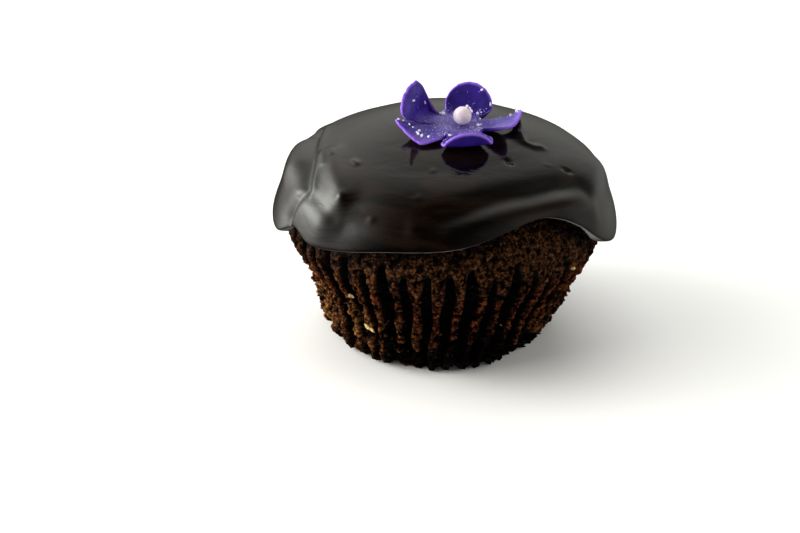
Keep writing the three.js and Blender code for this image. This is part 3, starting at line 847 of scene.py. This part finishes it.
def pearl_piece():
    """The sugar pearl, a ball that isn't quite round."""
    bm = bmesh.new()
    bmesh.ops.create_icosphere(bm, subdivisions=5, radius=PEARL_RADIUS)
    for vert in bm.verts:
        vert.co *= sum((high * noise.noise(vert.co * rate) for high, rate in PEARL_BUMPS), 1)
        vert.co = (vert.co + Vector(PEARL_DRAWN + SHIFT)) * MM
    return finish_piece(bm, "sugar_pearl")


# Materials

def colour(code):
    """An sRGB hex colour as the linear colour that a shader takes."""
    parts = [int(code[i:i + 2], 16) / 255 for i in (1, 3, 5)]
    return tuple(c / 12.92 if c <= 0.04045 else ((c + 0.055) / 1.055) ** 2.4 for c in parts) + (1,)


def node(tree, kind, inputs=None, stops=None, **settings):
    """Adds a node with its settings, and sets or links its inputs. Stops are a ramp's colours."""
    new = tree.nodes.new(kind)
    for name, value in settings.items():
        setattr(new, name, value)
    for name, value in (inputs or {}).items():
        if isinstance(value, bpy.types.NodeSocket):
            tree.links.new(value, new.inputs[name])
        else:
            new.inputs[name].default_value = value
    for i, (place, shade) in enumerate(stops or []):
        ramp = new.color_ramp
        stop = ramp.elements[i] if i < len(ramp.elements) else ramp.elements.new(place)
        stop.position = place
        stop.color = shade
    return new


def new_material(name):
    """An empty material and its node tree."""
    material = bpy.data.materials.new(name)
    material.use_nodes = True
    tree = material.node_tree
    tree.nodes.clear()
    return material, tree


def finish_material(material, shader):
    """Gives a material its shader as its surface."""
    node(material.node_tree, "ShaderNodeOutputMaterial", {"Surface": shader.outputs["BSDF"]})
    return material


def dark_sponge():
    """Chocolate sponge, baked in a paper case: an open dry crumb with rough brown tops, paler
    where it tore, with painted shade that makes it almost black down in its pores and in the
    case's pleats, darker at its foot and just under the glaze, under a smoother grey-brown baked
    skin."""
    material, tree = new_material("dark_sponge")
    place = node(tree, "ShaderNodeTexCoord").outputs["Object"]
    tone_and_painted_shade, pleat, crust, torn = (
        node(tree, "ShaderNodeAttribute", attribute_name=name).outputs["Fac"]
        for name in ("tone_and_painted_shade", "pleat", "crust", "torn"))
    crumbs = node(tree, "ShaderNodeTexNoise", {
        "Vector": place, "Scale": 1 / (0.5 * MM), "Detail": 5, "Roughness": 0.7})
    cells = node(tree, "ShaderNodeTexVoronoi", {"Vector": place, "Scale": 1 / (0.55 * MM)})
    uneven = node(tree, "ShaderNodeMath", {0: crumbs.outputs["Fac"], 1: -1.5, 2: 0.55},
                  operation="MULTIPLY_ADD")
    edges = node(tree, "ShaderNodeMath", {
        0: cells.outputs["Distance"], 1: 0.45, 2: uneven.outputs["Value"]}, operation="MULTIPLY_ADD")
    # Deepness runs the ramps below from the crumb's lit brown tops to black: painted shade in its
    # hollows and pores
    deepness = node(tree, "ShaderNodeMath", {0: tone_and_painted_shade, 1: edges.outputs["Value"]}, operation="ADD")
    crumb_colour = node(tree, "ShaderNodeValToRGB", {"Fac": deepness.outputs["Value"]}, stops=[
        (0.05, colour("#723a19")), (0.33, colour("#4f240e")), (0.52, colour("#260c04")),
        (0.7, colour("#050100"))])
    torn_colour = node(tree, "ShaderNodeValToRGB", {"Fac": deepness.outputs["Value"]}, stops=[
        (0.08, colour("#9c6b3a")), (0.3, colour("#744b26")), (0.52, colour("#3c2611")),
        (0.78, colour("#050200"))])
    inside = node(tree, "ShaderNodeMix", {
        "Factor": torn, "A": crumb_colour.outputs["Color"], "B": torn_colour.outputs["Color"]},
        data_type="RGBA")
    skin_colour = node(tree, "ShaderNodeValToRGB", {"Fac": deepness.outputs["Value"]}, stops=[
        (0.0, colour("#664528")), (0.33, colour("#3c230f")), (0.48, colour("#1e0f06")),
        (0.66, colour("#060201"))])
    surface = node(tree, "ShaderNodeMix", {
        "Factor": crust, "A": inside.outputs["Result"], "B": skin_colour.outputs["Color"]},
        data_type="RGBA")
    # Painted shade: the pleats' slots are coloured nearly black
    shaded = node(tree, "ShaderNodeMapRange", {"Value": pleat, "From Min": 0.04, "From Max": 0.32})
    base = node(tree, "ShaderNodeMix", {
        "Factor": shaded.outputs["Result"], "A": surface.outputs["Result"], "B": colour("#040100")},
        data_type="RGBA")
    bumps = node(tree, "ShaderNodeTexNoise", {
        "Vector": place, "Scale": 1 / (0.4 * MM), "Detail": 4, "Roughness": 0.6})
    bump = node(tree, "ShaderNodeBump", {
        "Height": bumps.outputs["Fac"], "Strength": 0.9, "Distance": 0.35 * MM})
    roughness = node(tree, "ShaderNodeMapRange", {"Value": crust, "To Min": 0.85, "To Max": 0.5})
    shader = node(tree, "ShaderNodeBsdfPrincipled", {
        "Base Color": base.outputs["Result"], "Roughness": roughness.outputs["Result"], "IOR": 1.4,
        "Specular IOR Level": 0.05, "Normal": bump.outputs["Normal"]})
    return finish_material(material, shader)


def sponge_crumb():
    """Loose chocolate crumb: dry and porous, in the browns of the wall that it hangs on."""
    material, tree = new_material("sponge_crumb")
    place = node(tree, "ShaderNodeTexCoord").outputs["Object"]
    grain = node(tree, "ShaderNodeTexNoise", {"Vector": place, "Scale": 1 / (0.5 * MM), "Detail": 4})
    base = node(tree, "ShaderNodeValToRGB", {"Fac": grain.outputs["Fac"]}, stops=[
        (0.35, colour("#140602")), (0.5, colour("#351606")), (0.68, colour("#5e3010"))])
    bump = node(tree, "ShaderNodeBump", {
        "Height": grain.outputs["Fac"], "Strength": 0.8, "Distance": 0.2 * MM})
    shader = node(tree, "ShaderNodeBsdfPrincipled", {
        "Base Color": base.outputs["Color"], "Roughness": 0.9, "IOR": 1.4,
        "Normal": bump.outputs["Normal"]})
    return finish_material(material, shader)


def baked_nut():
    """Nut baked in the sponge: pale straw, faintly oily, stained brown where the crumb holds it."""
    material, tree = new_material("baked_nut")
    place = node(tree, "ShaderNodeTexCoord").outputs["Object"]
    stain = node(tree, "ShaderNodeTexNoise", {"Vector": place, "Scale": 1 / (0.8 * MM), "Detail": 3})
    base = node(tree, "ShaderNodeValToRGB", {"Fac": stain.outputs["Fac"]}, stops=[
        (0.38, colour("#5a3514")), (0.5, colour("#a58a4e")), (0.65, colour("#c9b67c"))])
    shader = node(tree, "ShaderNodeBsdfPrincipled", {
        "Base Color": base.outputs["Color"], "Roughness": 0.5, "IOR": 1.47,
        "Subsurface Weight": 0.15, "Subsurface Radius": (0.8, 0.6, 0.4), "Subsurface Scale": MM})
    return finish_material(material, shader)


def chocolate_glaze():
    """Poured dark chocolate glaze, set smooth: nearly black, with a wet gloss and faint streaks
    that run round the dome, where it was spread before it set."""
    material, tree = new_material("chocolate_glaze")
    place = node(tree, "ShaderNodeTexCoord").outputs["Object"]
    streaked = node(tree, "ShaderNodeMapping", {
        "Vector": place, "Rotation": (0.25, 0.15, 0),
        "Scale": (1 / (13 * MM), 1 / (7 * MM), 1 / (2.2 * MM))})
    streaks = node(tree, "ShaderNodeTexNoise", {
        "Vector": streaked.outputs["Vector"], "Scale": 1, "Detail": 3, "Distortion": 0.6})
    base = node(tree, "ShaderNodeValToRGB", {"Fac": streaks.outputs["Fac"]}, stops=[
        (0.42, colour("#040201")), (0.62, colour("#130a05"))])
    bump = node(tree, "ShaderNodeBump", {
        "Height": streaks.outputs["Fac"], "Strength": 0.5, "Distance": 0.25 * MM})
    roughness = node(tree, "ShaderNodeMapRange", {
        "Value": streaks.outputs["Fac"], "From Min": 0.3, "From Max": 0.7,
        "To Min": 0.07, "To Max": 0.13})
    shader = node(tree, "ShaderNodeBsdfPrincipled", {
        "Base Color": base.outputs["Color"], "Roughness": roughness.outputs["Result"], "IOR": 1.38,
        "Normal": bump.outputs["Normal"]})
    return finish_material(material, shader)


def violet_paste():
    """Rolled sugar paste coloured violet: satin and slightly see-through, with a painted highlight
    that makes it paler and pinker at its cut edges, and greyed by the sugar that it was dusted
    with."""
    material, tree = new_material("violet_paste")
    place = node(tree, "ShaderNodeTexCoord").outputs["Object"]
    rim, dust = (node(tree, "ShaderNodeAttribute", attribute_name=name).outputs["Fac"]
                 for name in ("rim", "dust"))
    mottle = node(tree, "ShaderNodeTexNoise", {"Vector": place, "Scale": 1 / (1.8 * MM), "Detail": 3})
    face = node(tree, "ShaderNodeValToRGB", {"Fac": mottle.outputs["Fac"]}, stops=[
        (0.35, colour("#1c046a")), (0.65, colour("#30108c"))])
    powder = node(tree, "ShaderNodeTexNoise", {
        "Vector": place, "Scale": 1 / (0.55 * MM), "Detail": 4, "Roughness": 0.7})
    dusted = node(tree, "ShaderNodeMath", {0: powder.outputs["Fac"], 1: dust}, operation="MULTIPLY")
    covered = node(tree, "ShaderNodeMapRange", {
        "Value": dusted.outputs["Value"], "From Min": 0.15, "From Max": 0.85})
    powdered = node(tree, "ShaderNodeMix", {
        "Factor": covered.outputs["Result"], "A": face.outputs["Color"], "B": colour("#9381c9")},
        data_type="RGBA")
    # Painted highlight: the cut edges are mixed to a paler, pinker violet
    base = node(tree, "ShaderNodeMix", {
        "Factor": rim, "A": powdered.outputs["Result"], "B": colour("#855acc")}, data_type="RGBA")
    bump = node(tree, "ShaderNodeBump", {
        "Height": powder.outputs["Fac"], "Strength": 0.5, "Distance": 0.1 * MM})
    shader = node(tree, "ShaderNodeBsdfPrincipled", {
        "Base Color": base.outputs["Result"], "Roughness": 0.5, "IOR": 1.48,
        "Subsurface Weight": 0.3, "Subsurface Radius": (0.8, 0.5, 1.2), "Subsurface Scale": 0.7 * MM,
        "Normal": bump.outputs["Normal"]})
    return finish_material(material, shader)


def sugar_crystal():
    """Coarse white sugar: small clear blocks that look white and glint at their faces."""
    material, tree = new_material("sugar_crystal")
    place = node(tree, "ShaderNodeTexCoord").outputs["Object"]
    clouds = node(tree, "ShaderNodeTexNoise", {"Vector": place, "Scale": 1 / (0.6 * MM), "Detail": 2})
    base = node(tree, "ShaderNodeValToRGB", {"Fac": clouds.outputs["Fac"]}, stops=[
        (0.35, colour("#d9cff0")), (0.65, colour("#fbf8ff"))])
    shader = node(tree, "ShaderNodeBsdfPrincipled", {
        "Base Color": base.outputs["Color"], "Roughness": 0.15, "IOR": 1.54,
        "Subsurface Weight": 0.5, "Subsurface Radius": (1.0, 1.0, 1.0), "Subsurface Scale": 0.5 * MM})
    return finish_material(material, shader)


def pearl_sugar():
    """Panned sugar pearl: a smooth, faintly pink white shell with a soft gloss."""
    material, tree = new_material("pearl_sugar")
    place = node(tree, "ShaderNodeTexCoord").outputs["Object"]
    bloom = node(tree, "ShaderNodeTexNoise", {"Vector": place, "Scale": 1 / (1.2 * MM), "Detail": 2})
    base = node(tree, "ShaderNodeValToRGB", {"Fac": bloom.outputs["Fac"]}, stops=[
        (0.3, colour("#d9cad3")), (0.7, colour("#e6dae1"))])
    shader = node(tree, "ShaderNodeBsdfPrincipled", {
        "Base Color": base.outputs["Color"], "Roughness": 0.35, "IOR": 1.5,
        "Subsurface Weight": 0.3, "Subsurface Radius": (1.0, 0.8, 0.8), "Subsurface Scale": MM})
    return finish_material(material, shader)


def matt_floor():
    """Matt white card under the cupcake."""
    material, tree = new_material("matt_floor")
    shader = node(tree, "ShaderNodeBsdfPrincipled", {"Base Color": colour("#f8f8f7"), "Roughness": 0.7})
    return finish_material(material, shader)


# Studio

def add_panel(name, place, size, radiance, tint):
    """A soft box aimed at the cupcake, as bright as its radiance. Neither the camera nor the
    gloss shows it."""
    light = bpy.data.lights.new(name, "AREA")
    light.shape = "RECTANGLE"
    light.size, light.size_y = size
    light.energy = radiance * math.pi * size[0] * size[1]
    light.color = colour(tint)[:3]
    panel = bpy.data.objects.new(name, light)
    bpy.context.scene.collection.objects.link(panel)
    panel.location = place
    panel.rotation_mode = "QUATERNION"
    panel.rotation_quaternion = (Vector(SOFT_BOX_AIM) - Vector(place)).to_track_quat("-Z", "Y")
    panel.visible_camera = False
    panel.visible_glossy = False


def add_room_light(scene):
    """Soft light from all round, with broad smooth glows from windows that the gloss reflects.
    The camera sees the same plain pale air all round."""
    world = bpy.data.worlds.new("studio_air")
    world.use_nodes = True
    tree = world.node_tree
    way = node(tree, "ShaderNodeTexCoord").outputs["Generated"]
    total = ROOM_DARK
    for towards, power, radiance in ROOM_GLOWS:
        facing = node(tree, "ShaderNodeVectorMath", {0: way, 1: Vector(towards).normalized()},
                      operation="DOT_PRODUCT")
        ahead = node(tree, "ShaderNodeMath", {0: facing.outputs["Value"], 1: 0.0}, operation="MAXIMUM")
        falling = node(tree, "ShaderNodeMath", {0: ahead.outputs["Value"], 1: power}, operation="POWER")
        glow = node(tree, "ShaderNodeMath", {0: falling.outputs["Value"], 1: radiance, 2: total},
                    operation="MULTIPLY_ADD")
        total = glow.outputs["Value"]
    seen = node(tree, "ShaderNodeLightPath").outputs["Is Camera Ray"]
    strength = node(tree, "ShaderNodeMix", {"Factor": seen, "A": total, "B": 1.0})
    tint = node(tree, "ShaderNodeMix", {"Factor": seen, "A": colour(ROOM_TINT), "B": colour(AIR_TINT)},
                data_type="RGBA")
    background = tree.nodes["Background"]
    tree.links.new(tint.outputs["Result"], background.inputs["Color"])
    tree.links.new(strength.outputs["Result"], background.inputs["Strength"])
    scene.world = world


def add_studio():
    """The room's light, the soft boxes, the floor and the camera."""
    scene = bpy.context.scene
    scene.view_settings.view_transform = "Standard"
    add_room_light(scene)
    for soft_box in SOFT_BOXES:
        add_panel(*soft_box)

    bm = bmesh.new()
    bmesh.ops.create_grid(bm, x_segments=1, y_segments=1, size=FLOOR_HALF)
    floor = finish_piece(bm, "floor", smooth_faces=False)
    floor.data.materials.append(matt_floor())
    # The real glaze mirrors a darker room, so the white floor is kept out of its gloss
    floor.visible_glossy = False

    camera_data = bpy.data.cameras.new("camera")
    camera_data.lens = CAMERA_LENS
    camera_data.sensor_width = CAMERA_SENSOR
    camera_data.clip_start = CAMERA_NEAREST
    camera = bpy.data.objects.new("camera", camera_data)
    scene.collection.objects.link(camera)
    camera.location = (CAMERA_PLACE + Vector(SHIFT)) * MM
    camera.rotation_euler = (math.pi / 2 - CAMERA_PITCH, 0, 0)
    scene.camera = camera


def dress(piece, material, slot, *nodes):
    """Gives a piece its material and its body, and hides the CAD nodes that it stands for."""
    piece.data.materials.append(material)
    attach(piece, "root")
    if nodes:
        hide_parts(*nodes)


random.seed(RANDOM_SEED)
add_studio()
cake, cake_wall = cake_piece()
dress(cake, dark_sponge(), "sponge", "cake")
dress(crumb_piece(cake_wall), sponge_crumb(), "sponge")
dress(nut_piece(cake_wall), baked_nut(), "sponge")
dress(glaze_piece(), chocolate_glaze(), "glaze", "glaze")
dress(flower_piece(), violet_paste(), "sugar_paste", "flower")
dress(sugar_piece(), sugar_crystal(), "sugar_pearl")
dress(pearl_piece(), pearl_sugar(), "sugar_pearl", "pearl")
